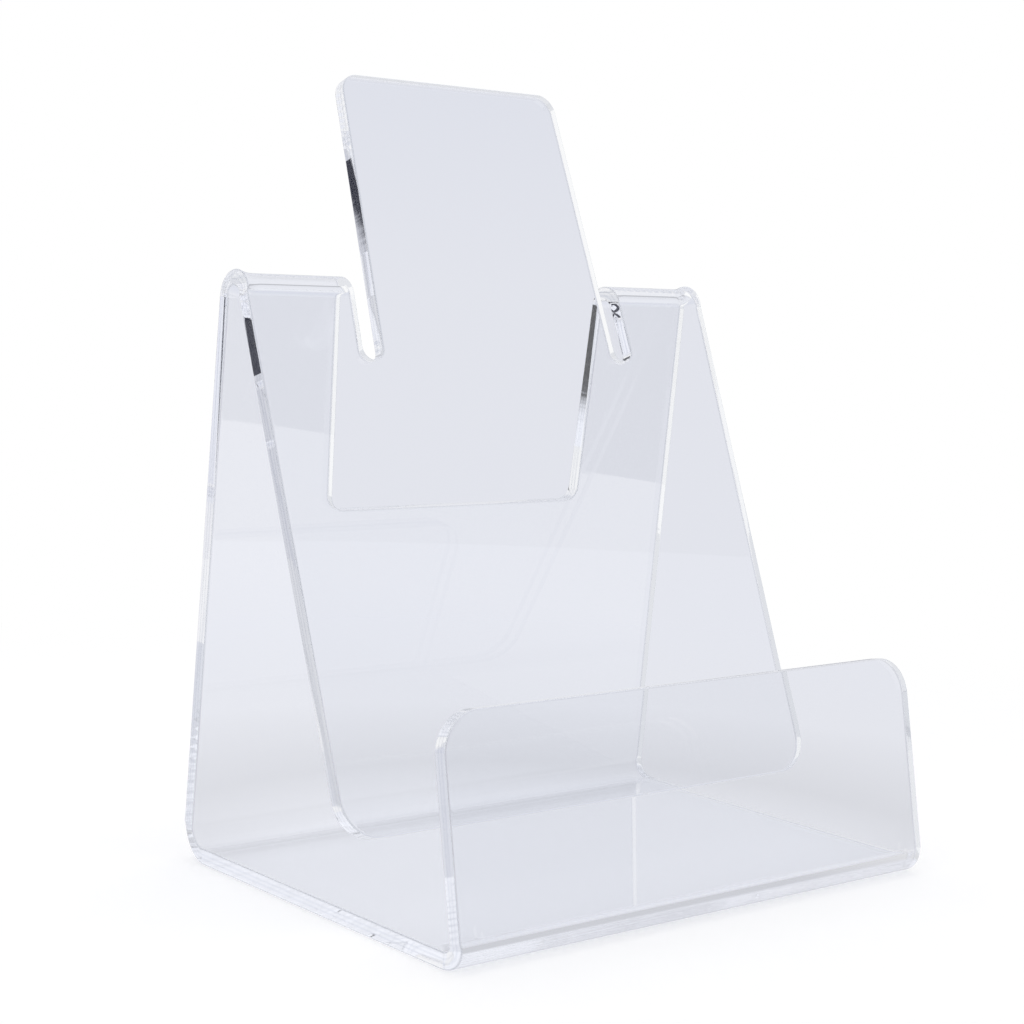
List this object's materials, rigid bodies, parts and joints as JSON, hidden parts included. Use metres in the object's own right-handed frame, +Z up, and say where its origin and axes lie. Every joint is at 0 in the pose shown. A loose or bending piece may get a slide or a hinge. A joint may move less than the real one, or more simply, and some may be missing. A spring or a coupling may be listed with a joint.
{
  "type": "brochure holder",
  "caption": "Clear acrylic counter-top leaflet holder, bent from a single sheet: front lip, flat base, leaning backrest with a tapering tongue above the fold.",
  "frame": {"origin": "under the middle of the holder on the surface that it stands on: the centre of the box round the object, at its underside", "axes": "+Z up, +Y from the front lip to the rear riser, +X to the right as seen from the front"},
  "size_m": [0.115, 0.0876, 0.1511],
  "materials": {
    "clear_acrylic": "clear cast acrylic, polished faces and flame-polished edges"
  },
  "bodies": {
    "root": {"bent_acrylic_sheet": "clear_acrylic"}
  },
  "joints": []
}
